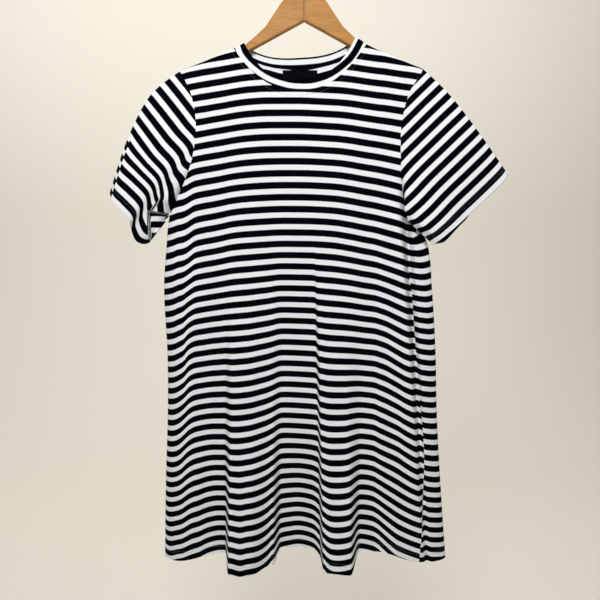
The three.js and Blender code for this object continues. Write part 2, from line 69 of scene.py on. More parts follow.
def beech(side):
    """Varnished beech: long soft grain and fine dark flecks along the arm."""
    material, tree, shader, add = new_material("beech_" + side, 0.5)
    place = add("TexCoord")
    turn = ARM_SLOPE if side == "right" else -ARM_SLOPE
    turned = {"Vector": place.outputs["Object"], "Rotation": (0, turn, 0)}
    along = add("Mapping", {**turned, "Scale": (7, 55, 90)})
    grain = add("TexNoise", {"Vector": along.outputs[0], "Scale": 1.0, "Detail": 5.0,
                             "Roughness": 0.6, "Distortion": 0.4})
    fine = add("Mapping", {**turned, "Scale": (60, 700, 900)})
    fleck = add("TexNoise", {"Vector": fine.outputs[0], "Scale": 1.0, "Detail": 2.0})
    blend = add("Math", {0: grain.outputs[0], 1: fleck.outputs[0]}, operation="MULTIPLY")
    ramp = add("ValToRGB", {0: blend.outputs[0]})
    ramp.color_ramp.elements[0].position = 0.12
    ramp.color_ramp.elements[0].color = BEECH_DARK
    ramp.color_ramp.elements[1].position = 0.36
    ramp.color_ramp.elements[1].color = BEECH_PALE
    tree.links.new(ramp.outputs[0], shader.inputs["Base Color"])
    bump = add("Bump", {"Strength": 0.05, "Distance": 0.0004, "Height": blend.outputs[0]})
    tree.links.new(bump.outputs[0], shader.inputs["Normal"])
    shader.inputs["Specular IOR Level"].default_value = 0.15
    shader.inputs["Coat Weight"].default_value = 0.03
    shader.inputs["Coat Roughness"].default_value = 0.25
    return material


def dress_node(name, material):
    """Gives one of the frame's own solids a material and smooth faces."""
    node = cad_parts[name]
    node.data.materials.clear()
    node.data.materials.append(material)
    node.data.polygons.foreach_set("use_smooth", np.ones(len(node.data.polygons), bool))
    return node


for side in ("left", "right"):
    arm = dress_node("hanger_arm_" + side, beech(side))
    arm.data.set_sharp_from_angle(angle=np.radians(40))

# HANGER HOOK
# Plated steel wire that leaves the wood at the middle and turns over at the crown.
# It is the frame's own solid.
steel, _, steel_shader, _ = new_material("plated_steel", 0.22, 1.0)
steel_shader.inputs["Base Color"].default_value = (0.74, 0.75, 0.76, 1)
hook = dress_node("hanger_hook", steel)
hook.data.set_sharp_from_angle(angle=np.radians(50))

# FRONT
# One panel of striped jersey from shoulders and neck to the hem. It turns over the hanger, hangs nearly
# flat to the underarm, and falls from there in two deep flutes with a valley between them. Sizes are in
# millimetres.
CLOTH = 1.3
DRESS_X, NECK_X = -4.5, -7.0
NECK_HALF, SHOULDER_HALF = 110.0, 200.0
WRAP, PIT_Z, HEM_Z, ROUND_FROM = 10.5, -424.0, -1024.0, -330.0
FRONT_NECK_DROP, BACK_NECK_DROP = 73.0, 34.0
NECK_POWER = 2.3  # of the neck seam's curve
DEPTH_RUN = 60.0  # drop below the shoulder line over which the body gains its depth
EDGE_EASE, EDGE_POWER = 0.25, 8
EDGE_SPEED = 1 / (1 - EDGE_EASE / 2)
ROW_POWER, SKIRT_TO = 1.7, 0.98  # crowding of rows to the shoulders, and the way down to the turned hem
STRIPE = 19.0  # one dark and one white stripe
DARK_SHARE = 0.565  # of the pair that is dark; a stripe number is whole at the dark stripe's upper edge
WHITES = ((0.82, 0.83, 0.85, 1), (0.88, 0.89, 0.905, 1))
DARKS = ((0.0008, 0.001, 0.0026, 1), (0.0018, 0.0022, 0.005, 1))
SHARP = np.radians(55)  # a cloth edge that turns by more is shaded sharp
HEM_TURN, HEM_CLOTH = 22.0, 2.4  # height and wall of a turned hem
HEM_SLACK = 0.2  # above that height, so that the hem's top row counts as turned
HEM_ROWS = np.array([1.02, 1.0, 0.97, 0.66, 0.33, 0.1, 0])  # rows of the turned hem, as shares of it
NEEDLE_LINES = (13.5, 17.5)  # the two rows of stitches, above a hem's edge
NECK_STITCH = 5.0  # the stitches beside the neck seam
NECK_STITCH_TURN, NECK_STITCH_POINTS = 1.32, 161  # angle to each side of the middle, and points
STITCH_PITCH, STITCH_LONG, STITCH_WIDE, STITCH_HIGH = 3.4, 2.9, 0.6, 0.35


def table(names, rows):
    """Rows of numbers as named columns."""
    return dict(zip(names.split(), np.array(rows, float).T))


SHOULDER_LINE = table("x z", [
    (0, -92), (64, -112), (80, -125), (92, -134.5),
    (108, -144.5), (150, -163), (200, -182.5), (240, -198)])
# side edges of the body by level, and the depth of its front and back from the middle plane
BODY = table("z left right front back", [
    (-140, -204.5, 195.5, 10.5, 10.5),
    (-182, -204.5, 195.5, 10.5, 10.5),
    (-222, -187, 173, 12, 11),
    (-272, -179, 161, 13.5, 11.5),
    (-329, -186, 160, 15, 12),
    (-368, -201, 163, 16, 13),
    (-398, -216, 170, 16.5, 13.5),
    (-424, -228, 185, 17, 14),
    (-470, -234, 210, 18, 15),
    (-548, -240, 219.5, 20, 17),
    (-660, -236.5, 228, 23, 20),
    (-760, -238, 232, 25, 23),
    (-886, -244, 241, 27, 26),
    (-1060, -249.5, 256, 29, 29)])
# fold lines from left to right: place at the underarm and the hem, levels where a fold starts and is
# half grown, its depth there and at the hem, and how far it lowers the hem
FRONT_FOLDS = table("top hem start middle half full drop", [
    (-250, -262, -420, -600, 0, 0, -1),
    (-212, -226, -330, -560, 7, 4, -2),
    (-176, -150, -330, -560, -5, -14, -10),
    (-134, -140, -560, -760, -3, -12, -13),
    (-116, -127, -480, -760, 11, 38, 1),
    (-88, -98, -480, -760, 7, 30, 9),
    (-58, -54, -480, -760, -2, 0, 3),
    (-34, -42, -440, -760, -11, -35, -11),
    (10, 14, -440, -760, -11, -35, -11),
    (13, 29, -440, -760, -10, -28, 1),
    (22, 33, -440, -760, 11, 33, 0),
    (62, 78, -440, -760, 10, 38, 1),
    (102, 98, -520, -800, -3, -14, -16),
    (122, 124, -520, -800, -3, -14, -14),
    (157, 206, -330, -450, 15, 8, -4),
    (176, 216, -330, -450, -24, -4, 0),
    (181, 224, -330, -450, -4, 2, 0),
    (232, 268, -420, -600, 0, 0, 2)])
# share of the half width by which the side seams are turned round, to the front on the right
SIDE_SEAM = table("z turn", [
    (-424, 0), (-470, 0.245), (-560, 0.258), (-650, 0.257),
    (-815, 0.23), (-900, 0.248), (-984, 0.29), (-1060, 0.335)])
# level of every stripe's upper edge at the middle of the front, by the stripe's number
STRIPE_LEVEL = table("count z", [
    (-6, -111.8), (0, -229.4), (6, -347.4), (12, -464.4),
    (21, -631.6), (30, -797), (39, -960.4), (44, -1049.4)])
# how far a stripe hangs below its middle, by place across, at five stripes; most numbers in the rows from
# -204 to 160 come from a scratch fit to the photograph's stripes, and the others were set by eye
DROOP_COUNTS = (0, 12, 21, 30, 39)
FRONT_DROOP = table("x n0 n12 n21 n30 n39", [
    (-262, 24, 44, 50, 48, 42),
    (-238, 25, 42, 49, 50, 46),
    (-222, 24.5, 38.5, 45.5, 46.5, 40.3),
    (-212, 23, 34.5, 40.5, 40.3, 37.4),
    (-204, 21.8, 32.8, 35.2, 31.9, 34),
    (-198, 20, 30.3, 27.2, 27, 31.6),
    (-191, 18, 25.2, 22.1, 23.2, 29.8),
    (-184, 16.6, 19.7, 20, 21.2, 28.2),
    (-170, 14, 15.7, 18.3, 19.1, 23),
    (-155, 11.6, 13.1, 15.7, 17.9, 19.8),
    (-138, 9, 9.6, 13.4, 16.5, 17.5),
    (-124, 6.6, 6.3, 12.1, 17.4, 17.2),
    (-108, 3.9, 4.1, 11, 18.3, 23),
    (-94, 2, 3, 9.8, 16.9, 21.5),
    (-75, 0.5, 1.7, 6.5, 12.9, 22.7),
    (-64, 0, 1.1, 4.6, 10, 19),
    (-54, 0, 0.4, 2.3, 4.9, 10.2),
    (-44, 0, 0, -0.3, 0.1, 6.2),
    (-33, 0, -0.2, -0.8, -1.2, 3.2),
    (-7, 0, 0, 0, 0, 0.5),
    (16, 0.4, 0.2, 1, 2, 8.2),
    (25.6, 0.7, 0.4, 2.2, 4.4, 16.5),
    (28, 0.8, 0.5, 5.7, 11.2, 11),
    (34, 1, 0.8, 7, 14.6, 16.6),
    (42, 1.3, 1.2, 8.7, 17, 21.2),
    (54, 2.2, 2.6, 10, 17.5, 22.3),
    (68, 3.8, 5.5, 10.7, 16.9, 20.5),
    (80, 5.2, 7.7, 12, 14.6, 17.3),
    (99, 8, 11.7, 15, 14.9, 15.8),
    (120, 10.8, 15.8, 17.3, 18.2, 20),
    (130, 11.8, 18.9, 20.2, 23.7, 25.5),
    (140, 13.2, 22.2, 23.7, 27.8, 34.5),
    (160, 16.2, 28.5, 35.2, 35.2, 50.3),
    (171, 17.5, 32, 41, 42.5, 54),
    (188, 20, 37, 46.5, 53, 58.5),
    (207, 24, 43, 53, 61, 64),
    (240, 33, 54, 64, 70, 74)])
# the steep flank of the right fold: its place and level in the table, its lean, and the lean's reach
FLANK_X, FLANK_Z, FLANK_LEAN, FLANK_REACH = 25.0, -830.0, 0.028, 45.0


def clamp(value):
    """Value kept between 0 and 1."""
    return np.clip(value, 0, 1)


def ease(value):
    """Smooth step from 0 to 1: three squares less two cubes."""
    return clamp(value) ** 2 * (3 - 2 * clamp(value))


def mix(a, b, share):
    """From a to b in a straight line by a share."""
    return a + (b - a) * share


def read(rows, key, value, column):
    """Column of a table at the key's value, on a cubic from row to row. Its slope at a row is that from the
    row before to the row after."""
    k, c = rows[key], rows[column]
    turn = 1.0 if k[-1] > k[0] else -1.0
    k, value = turn * k, turn * np.asarray(value, float)
    last = len(k) - 1
    i = np.clip(np.searchsorted(k, value) - 1, 0, last - 1)
    before, after = np.clip(i - 1, 0, last), np.clip(i + 2, 0, last)
    span = k[i + 1] - k[i]
    t = clamp((value - k[i]) / span)
    slope_a = (c[i + 1] - c[before]) / (k[i + 1] - k[before]) * span
    slope_b = (c[after] - c[i]) / (k[after] - k[i]) * span
    return ((2 * t**3 - 3 * t**2 + 1) * c[i] + (t**3 - 2 * t**2 + t) * slope_a
            + (3 * t**2 - 2 * t**3) * c[i + 1] + (t**3 - t**2) * slope_b)


def fold_lines(rows, x, z, column):
    """Depth ("depth") or hem drop ("drop") at x: eased from the fold line on its left to the next one."""
    x, z = np.broadcast_arrays(np.asarray(x, float), np.asarray(z, float))
    line = {name: values.reshape(-1, *[1] * x.ndim) for name, values in rows.items()}
    places = mix(line["top"], line["hem"], clamp((PIT_Z - z) / (PIT_Z - HEM_Z)))
    grown = line["half"] * ease((line["start"] - z) / (line["start"] - line["middle"]))
    depth = mix(grown, line["full"], clamp((line["middle"] - z) / (line["middle"] - HEM_Z)))
    values = depth if column == "depth" else line["drop"] + 0 * depth
    i = np.clip((x > places[1:]).sum(0), 0, len(rows["top"]) - 2)[None]
    a, b = np.take_along_axis(places, i, 0)[0], np.take_along_axis(places, i + 1, 0)[0]
    low, high = np.take_along_axis(values, i, 0)[0], np.take_along_axis(values, i + 1, 0)[0]
    return mix(low, high, ease((x - a) / (b - a)))


def across(turn):
    """Share of the half width at a turn of the section: even in the middle, slowing to the fold edge."""
    size = np.abs(turn)
    return np.sign(turn) * np.where(
        size < 1 - EDGE_EASE, EDGE_SPEED * size, 1 - EDGE_SPEED * (1 - size) ** 2 / (2 * EDGE_EASE))


def turn_of(share):
    """The turn whose share of the half width is given."""
    size = np.abs(share)
    straight = EDGE_SPEED * (1 - EDGE_EASE)
    near_edge = 1 - np.sqrt(np.maximum(0, 1 - size) * 2 * EDGE_EASE / EDGE_SPEED)
    return np.sign(share) * np.where(size < straight, size / EDGE_SPEED, near_edge)


def shoulder_z(x):
    """Level of the shoulder line, alike on both sides."""
    return read(SHOULDER_LINE, "x", np.abs(x), "z")


def section_x(share, z):
    """Place across at a share of the half width, from the section's middle."""
    left, right = read(BODY, "z", z, "left"), read(BODY, "z", z, "right")
    return (left + right) / 2 + (right - left) / 2 * share


def sheet_depth(x, z, side):
    """Depth of a side from the middle plane: a quarter circle over the hanger, then the table's depth."""
    below = shoulder_z(x) - z
    over = 1 - clamp(below / WRAP)
    return WRAP * np.sqrt(1 - over**2) + (read(BODY, "z", z, side) - WRAP) * ease(below / DEPTH_RUN)


def creases(rows, x, z):
    """Sum of soft troughs and ridges: depth times a bell across the line times a smooth run along it."""
    depth = np.zeros(np.broadcast_shapes(np.shape(x), np.shape(z)))
    for i in range(len(rows["x"])):
        lean = np.radians(rows["lean"][i])
        right, up = x - rows["x"][i], z - rows["z"][i]
        along = right * np.sin(lean) + up * np.cos(lean)
        aside = right * np.cos(lean) - up * np.sin(lean)
        run = clamp(1 - (2 * along / rows["length"][i]) ** 2) ** 2
        depth = depth + rows["depth"][i] * run * np.exp(-((aside / rows["width"][i]) ** 2))
    return depth


def body_points(side, turn, z, slide):
    """Points of a panel: across by turn and level, and out by the sheet's depth with its folds, rounded to
    nothing at the section's fold edges. Under the arms a turn past -1 or 1 lies on the other side."""
    turn = np.where(turn < -1, turn + 4, turn)
    on_front = np.where(z > PIT_Z, side == "front", turn <= 1)
    share = across(np.where(turn <= 1, turn, 2 - turn))
    x = section_x(share, z) + slide
    rounding = np.sqrt(np.maximum(0, 1 - np.abs(share) ** EDGE_POWER))
    edge = mix(1, rounding, ease((ROUND_FROM - z) / (ROUND_FROM - PIT_Z)))
    front_out = fold_lines(FRONT_FOLDS, x, z, "depth") + creases(FRONT_CREASES, x, z)
    back_out = fold_lines(BACK_FOLDS, x, z, "depth") + creases(BACK_CREASES, x, z)
    front = -(sheet_depth(x, z, "front") + front_out) * edge
    back = (sheet_depth(x, z, "back") + back_out) * edge
    return np.stack([x, np.where(on_front, front, back), z], -1), on_front


def neck_z(share, half):
    """Level on the straight line between the shoulder line's points at both ends of the neck."""
    return mix(shoulder_z(NECK_X - half), shoulder_z(NECK_X + half), (share + 1) / 2)


def top_z(x, drop):
    """Level of a panel's top edge: shoulder line outside the neck, neck curve inside it."""
    share = (x - NECK_X) / NECK_HALF
    curve = neck_z(share, NECK_HALF) - drop * (1 - np.minimum(1, np.abs(share)) ** NECK_POWER)
    return np.where(np.abs(share) >= 1, shoulder_z(x), curve)


def panel(side, columns, yoke, skirt):
    """Grid of a panel, columns by rows: its points, its place unrolled across, and its height over the hem.
    The columns run to the right seen from outside, and the rows from the top edge down."""
    sign = 1 if side == "front" else -1
    tops = np.array([DRESS_X - sign * SHOULDER_HALF, NECK_X - sign * NECK_HALF,
                     NECK_X + sign * NECK_HALF, DRESS_X + sign * SHOULDER_HALF])
    turns = turn_of((tops - DRESS_X) / SHOULDER_HALF)
    runs = [np.linspace(a, b, n, endpoint=False) for a, b, n in zip(turns, turns[1:], columns)]
    spread = np.concatenate([*runs, turns[-1:]])
    share = across(spread)
    top_x = DRESS_X + share * SHOULDER_HALF
    top = top_z(top_x, FRONT_NECK_DROP if side == "front" else BACK_NECK_DROP)
    turn = (spread if side == "front" else 2 - spread)[:, None]
    hem_turn = turn - read(SIDE_SEAM, "z", HEM_Z, "turn")
    hem_points, hem_front = body_points(side, hem_turn, np.full(turn.shape, HEM_Z), 0)
    drop = np.where(hem_front, fold_lines(FRONT_FOLDS, hem_points[..., 0], HEM_Z, "drop"),
                    fold_lines(BACK_FOLDS, hem_points[..., 0], HEM_Z, "drop"))
    hem = HEM_Z - drop
    down = np.linspace(0, 1, yoke + 1)[None, :] ** ROW_POWER
    upper = mix(top[:, None], PIT_Z, down)
    lower = mix(PIT_Z, hem + HEM_TURN, np.linspace(0, SKIRT_TO, skirt)[None, 1:])
    z = np.concatenate([upper, lower, hem + HEM_TURN * HEM_ROWS], 1)
    fallen = ease((top[:, None] - z) / (top[:, None] - PIT_Z))
    slide = (top_x - section_x(share, top))[:, None] * (1 - fallen)
    shift = np.where(z < PIT_Z, read(SIDE_SEAM, "z", z, "turn"), 0)
    points, on_front = body_points(side, turn - shift, z, slide)
    left, right = read(BODY, "z", z, "left"), read(BODY, "z", z, "right")
    round_left = (side == "front") & ~on_front
    round_right = (side == "back") & on_front
    x = points[..., 0]
    unrolled = np.where(round_left, 2 * left - x, np.where(round_right, 2 * right - x, x))
    return points, unrolled, z - hem


def stripe_count(x, z):
    """Stripe number at a place of the front: its level plus the droop there, looked up on the middle's
    levels. The droop is mixed between the two stripes of the table beside that level."""
    levels = read(STRIPE_LEVEL, "count", np.array(DROOP_COUNTS), "z")
    last = len(levels) - 2
    near_flank = 1 - ease(np.abs(x - FLANK_X) / FLANK_REACH)
    upright = x + FLANK_LEAN * (z - FLANK_Z) * near_flank
    droops = np.stack([read(FRONT_DROOP, "x", upright, f"n{count}") for count in DROOP_COUNTS])
    at_middle = z
    for _ in range(3):
        i = np.clip((at_middle[None] < levels[1:].reshape(-1, *[1] * z.ndim)).sum(0), 0, last)
        share = (at_middle - levels[i]) / (levels[i + 1] - levels[i])
        share = np.where(i == last, share, clamp(share))
        above, below = (np.take_along_axis(droops, i[None] + step, 0)[0] for step in (0, 1))
        at_middle = z + mix(above, below, share)
    return read(STRIPE_LEVEL, "z", at_middle, "count")


def rolled(points):
    """Cloth that the roll over the hanger holds below a point beyond its height: what is left of the arc,
    less what is left of the drop."""
    below = clamp((shoulder_z(points[..., 0]) - points[..., 2]) / WRAP)
    return WRAP * (np.pi / 2 - 1 - np.arccos(1 - below) + below)


def normals_of(points, ring=False):
    """Outward normals of a grid: down along the rows crossed with right along the columns."""
    if ring:
        right = np.roll(points, -1, 0) - np.roll(points, 1, 0)
    else:
        right = np.gradient(points, axis=0)
    down = np.gradient(points, axis=1)
    normal = np.cross(down, right)
    return normal / np.maximum(1e-9, np.linalg.norm(normal, axis=-1, keepdims=True))


def wall(name, points, uv, over_edge, ring=False):
    """Closed wall of cloth: the outside grid, the same grid moved in by the wall, and the rims between. uv
    is in metres of cloth. Up to the height of the turned hem the wall is double, and the stripes of its
    inside run back from the edge."""
    columns, rows = points.shape[:2]
    turned = over_edge < HEM_TURN + HEM_SLACK
    inside = points - normals_of(points, ring) * np.where(turned, HEM_CLOTH, CLOTH)[..., None]
    back_from_edge = np.where(turned, 2 * uv[:, -1:, 1] - uv[..., 1], uv[..., 1])
    uv_inside = np.stack([uv[..., 0], back_from_edge], -1)
    vertices = np.concatenate([points.reshape(-1, 3), inside.reshape(-1, 3)]) / 1000
    index = np.arange(columns * rows).reshape(columns, rows)
    a = index if ring else index[:-1]
    b = np.roll(index, -1, 0) if ring else index[1:]
    n = columns * rows
    outer = np.stack([a[:, :-1], a[:, 1:], b[:, 1:], b[:, :-1]], -1).reshape(-1, 4)
    inner = np.stack([a[:, :-1], b[:, :-1], b[:, 1:], a[:, 1:]], -1).reshape(-1, 4) + n
    rims = [np.stack([a[:, 0], b[:, 0], b[:, 0] + n, a[:, 0] + n], -1),
            np.stack([a[:, -1], a[:, -1] + n, b[:, -1] + n, b[:, -1]], -1)]
    if not ring:
        first, last = index[0], index[-1]
        rims.append(np.stack([first[:-1], first[:-1] + n, first[1:] + n, first[1:]], -1))
        rims.append(np.stack([last[:-1], last[1:], last[1:] + n, last[:-1] + n], -1))
    faces = np.concatenate([outer, inner, *rims])
    mesh = bpy.data.meshes.new(name)
    mesh.from_pydata(vertices, [], faces.tolist())
    flat = np.concatenate([uv.reshape(-1, 2), uv_inside.reshape(-1, 2)])
    layer = mesh.uv_layers.new(name="cloth")
    layer.data.foreach_set("uv", flat[faces.reshape(-1)].astype(np.float32).reshape(-1))
    mesh.polygons.foreach_set("use_smooth", np.ones(len(faces), bool))
    mesh.set_sharp_from_angle(angle=SHARP)
    mesh.update()
    piece = bpy.data.objects.new(name, mesh)
    bpy.context.scene.collection.objects.link(piece)
    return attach(piece, "root")


def jersey(name):
    """Striped cotton jersey: even dark and white stripes along v, edges that waver by a loop of the knit,
    and a fine bump of the knit's ribs."""
    material, tree, shader, add = new_material(name, 0.88)
    place = add("UVMap", uv_map="cloth")
    split = add("SeparateXYZ", {0: place.outputs[0]})
    wobble = add("TexNoise", {"Vector": place.outputs[0], "Scale": 900.0, "Detail": 1.0})
    shift = add("Math", {0: wobble.outputs[0], 1: 0.0009, 2: -0.00045}, operation="MULTIPLY_ADD")
    v = add("Math", {0: split.outputs[1], 1: shift.outputs[0]}, operation="ADD")
    phase = add("Math", {0: v.outputs[0], 1: 1000 / STRIPE, 2: DARK_SHARE / 2}, operation="MULTIPLY_ADD")
    saw = add("Math", {0: phase.outputs[0]}, operation="FRACT")
    from_middle = add("Math", {0: saw.outputs[0], 1: 0.5}, operation="SUBTRACT")
    away = add("Math", {0: from_middle.outputs[0]}, operation="ABSOLUTE")
    edge = 0.5 - DARK_SHARE / 2
    dark = add("MapRange", {0: away.outputs[0], 1: edge - 0.02, 2: edge + 0.02})
    cloud = add("TexNoise", {"Vector": place.outputs[0], "Scale": 35.0, "Detail": 3.0})
    white = add("MixRGB", {0: cloud.outputs[0], 1: WHITES[0], 2: WHITES[1]})
    black = add("MixRGB", {0: cloud.outputs[0], 1: DARKS[0], 2: DARKS[1]})
    colour = add("MixRGB", {0: dark.outputs[0], 1: white.outputs[0], 2: black.outputs[0]})
    tree.links.new(colour.outputs[0], shader.inputs["Base Color"])
    loops = add("Mapping", {"Vector": place.outputs[0], "Scale": (760, 980, 1)})
    ribs = {"Vector": loops.outputs[0], "Scale": 1.0, "Distortion": 1.2, "Detail": 1.0}
    knit = add("TexWave", ribs, bands_direction="X")
    bump = add("Bump", {"Strength": 0.12, "Distance": 0.0003, "Height": knit.outputs[0]})
    tree.links.new(bump.outputs[0], shader.inputs["Normal"])
    shader.inputs["Specular IOR Level"].default_value = 0.012
    return material


def thread():
    """Grey sewing thread with a little twist."""
    material, tree, shader, add = new_material("grey_thread", 0.7)
    shader.inputs["Base Color"].default_value = (0.16, 0.16, 0.17, 1)
    shader.inputs["Specular IOR Level"].default_value = 0.2
    place = add("TexCoord")
    twist = add("TexNoise", {"Vector": place.outputs["Object"], "Scale": 2500.0})
    bump = add("Bump", {"Strength": 0.3, "Distance": 0.0002, "Height": twist.outputs[0]})
    tree.links.new(bump.outputs[0], shader.inputs["Normal"])
    return material


def stitches(name, lines):
    """Stitches along lines of points with normals: each a pointed lens along the line, half sunk in."""
    vertices, faces = [], []
    for points, normals in lines:
        way = np.concatenate([[0], np.cumsum(np.linalg.norm(np.diff(points, axis=0), axis=-1))])
        middle = np.arange(STITCH_PITCH / 2, way[-1], STITCH_PITCH)

        def at(values, place):
            return np.stack([np.interp(place, way, values[:, i]) for i in range(3)], -1)

        before, after = at(points, middle - STITCH_LONG / 2), at(points, middle + STITCH_LONG / 2)
        centre, up = at(points, middle), at(normals, middle)
        aside = np.cross(after - before, up)
        aside *= STITCH_WIDE / 2 / np.maximum(1e-9, np.linalg.norm(aside, axis=-1, keepdims=True))
        corners = [before, after, centre + aside, centre - aside,
                   centre + STITCH_HIGH * up, centre - STITCH_HIGH * up]
        first = 6 * sum(len(group) for group in vertices) + 6 * np.arange(len(middle))[:, None, None]
        lens = np.array([(0, 2, 4), (2, 1, 4), (1, 3, 4), (3, 0, 4),
                         (2, 0, 5), (1, 2, 5), (3, 1, 5), (0, 3, 5)])
        vertices.append(np.stack(corners, 1))
        faces.append((first + lens[None]).reshape(-1, 3))
    mesh = bpy.data.meshes.new(name)
    mesh.from_pydata(np.concatenate(vertices).reshape(-1, 3) / 1000, [], np.concatenate(faces).tolist())
    mesh.materials.append(sewing)
    piece = bpy.data.objects.new(name, mesh)
    bpy.context.scene.collection.objects.link(piece)
    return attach(piece, "root")


def neck_line(side):
    """Line of stitches on a panel along the neck seam, with the panel's normals there."""
    share = np.sin(np.linspace(-NECK_STITCH_TURN, NECK_STITCH_TURN, NECK_STITCH_POINTS))
    x = NECK_X + share * (NECK_HALF + NECK_STITCH)
    drop = NECK_STITCH + (FRONT_NECK_DROP if side == "front" else BACK_NECK_DROP)
    z = neck_z(share, NECK_HALF + NECK_STITCH) - drop * (1 - np.abs(share) ** NECK_POWER)
    depth = sheet_depth(x, z, side)
    rise = sheet_depth(x, z + 0.5, side) - sheet_depth(x, z - 0.5, side)
    out = -1 if side == "front" else 1
    normals = np.stack([0 * x, out + 0 * x, -rise], -1)
    return np.stack([x, out * depth, z], -1), normals / np.linalg.norm(normals, axis=-1, keepdims=True)


def stitch_rows(name, points, over_edge, ring=False, more=()):
    """The needle lines of a turned hem, at their heights over the edge of a grid, and any more lines."""
    normals = normals_of(points, ring)
    lines = []
    for height in NEEDLE_LINES:
        low = np.argmax(over_edge < height, 1)[:, None]
        upper, lower = np.take_along_axis(over_edge, low - 1, 1), np.take_along_axis(over_edge, low, 1)
        share = ((upper - height) / (upper - lower))[..., None]
        pair = []
        for grid in (points, normals):
            above, below = (np.take_along_axis(grid, row[..., None], 1) for row in (low - 1, low))
            pair.append(mix(above, below, share))
        lines.append([np.concatenate([line[:, 0], line[:1, 0]]) if ring else line[:, 0] for line in pair])
    return stitches(name, [*lines, *more])


BACK_FOLDS = table("top hem start middle half full drop", [
    (-250, -262, -420, -600, 0, 0, -1),
    (-150, -168, -460, -760, 4, 11, 1),
    (-90, -98, -460, -760, -4, -9, -3),
    (-14, -22, -420, -760, 5, 12, 1),
    (62, 70, -480, -780, -4, -8, -3),
    (138, 154, -460, -760, 4, 10, 1),
    (232, 268, -420, -600, 0, 0, 2)])

# soft troughs, below 0, and ridges: middle, lean from upright in degrees, length, width and depth
FRONT_CREASES = table("x z lean length width depth", [
    (-166, -262, 9, 130, 8, -1.8),
    (-148, -300, 15, 150, 11, 1.3),
    (-118, -246, -6, 90, 12, 0.9),
    (-196, -470, 22, 120, 9, -2.2),
    (-172, -560, 14, 230, 13, 1.7),
    (-58, -420, 6, 260, 24, -1.4),
    (64, -390, -5, 210, 21, 1.2),
    (128, -268, -11, 120, 9, -1.6),
    (142, -420, -7, 170, 9, 1.8),
    (120, -560, -4, 190, 15, -1.3),
    (-182, -880, 4, 190, 9, 1.9),
    (-196, -960, -3, 110, 7, -1.5),
    (112, -900, -6, 220, 11, -1.7),
    (152, -800, -10, 280, 13, 1.5)])
BACK_CREASES = table("x z lean length width depth", [
    (-150, -270, 10, 140, 9, -1.7),
    (-120, -330, 16, 160, 12, 1.4),
    (134, -280, -9, 130, 9, -1.6),
    (104, -340, -15, 170, 13, 1.3),
    (-40, -420, 5, 240, 22, -1.3),
    (52, -460, -7, 200, 18, 1.4),
    (-178, -640, 9, 230, 13, 1.7),
    (170, -700, -8, 260, 12, -1.6),
    (20, -860, 3, 230, 14, -1.8),
    (-120, -900, -4, 180, 10, 1.6)])

striped = jersey("striped_jersey")
sewing = thread()
front_points, front_x, front_over = panel("front", (50, 150, 50), 70, 130)
front_level = front_points[..., 2] + rolled(front_points)
front_uv = np.stack([front_x / 1000, -stripe_count(front_x, front_level) * STRIPE / 1000], -1)
front = wall("front_panel", front_points, front_uv, front_over)
front.data.materials.append(striped)
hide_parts("front")
front_sewing = stitch_rows("front_stitches", front_points, front_over, more=[neck_line("front")])

# BACK
# One panel of the same jersey. Its folds are soft, its stripes sag between the arms of the hanger, and it
# comes round to the front on the right.
BACK_DROOP = table("x droop", [
    (-300, 52), (-240, 42), (-190, 33), (-150, 21), (-100, 9), (-50, 2), (0, 0), (50, 2),
    (100, 9), (150, 22), (190, 40), (214, 50.5), (232, 55), (246, 54), (270, 49), (310, 42)])
BACK_GROWTH = table("z times", [
    (-140, 0.4), (-300, 0.7), (-500, 1), (-760, 1), (-900, 1.12), (-1060, 1.16)])
# sag of the stripes between the arms of the hanger: its reach across, its lowest level and its growth
NECK_SAG, SAG_REACH, SAG_FROM, SAG_RUN = 19.5, 95.0, -300.0, 110.0
back_points, back_x, back_over = panel("back", (40, 90, 40), 70, 120)
back_droop = read(BACK_DROOP, "x", back_x, "droop") * read(BACK_GROWTH, "z", back_points[..., 2], "times")
near_neck = 1 - ease(np.abs(back_x - NECK_X) / SAG_REACH)
neck_sag = NECK_SAG * near_neck * ease((back_points[..., 2] - SAG_FROM) / SAG_RUN)
back_z = back_points[..., 2] + rolled(back_points) + back_droop + neck_sag
back_uv = np.stack([back_x / 1000, -read(STRIPE_LEVEL, "z", back_z, "count") * STRIPE / 1000], -1)
back = wall("back_panel", back_points, back_uv, back_over)
back.data.materials.append(striped)
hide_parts("back")
back_sewing = stitch_rows("back_stitches", back_points, back_over, more=[neck_line("back")])

# SLEEVES
# Short set-in sleeves. Each is a tube from its armhole to an open cuff, with stripes parallel to the cuff.
# The right one hangs flat; the left one is turned forward, and its underarm is drawn up into a fold.
LEFT_CUFF = table("share x z front back", [
    (0, -325, -385, -12, -12),
    (0.12, -317, -397, -27, 2),
    (0.3, -303, -411, -32, 7),
    (0.48, -287, -430, -31, 9),
    (0.62, -289, -446, -18, 9),
    (0.8, -282, -464, -17, 8),
    (0.92, -271, -470, -13, 5),
    (1, -263, -468, -4, -4)])
RIGHT_CUFF = table("share x z front back", [
    (0, 342, -355, -7, -7),
    (0.1, 330, -367, -19, 5),
    (0.35, 300, -396, -24, 9),
    (0.65, 263, -431, -25, 7),
    (0.9, 235, -459, -25, -5),
    (1, 223.5, -470, -15, -15)])
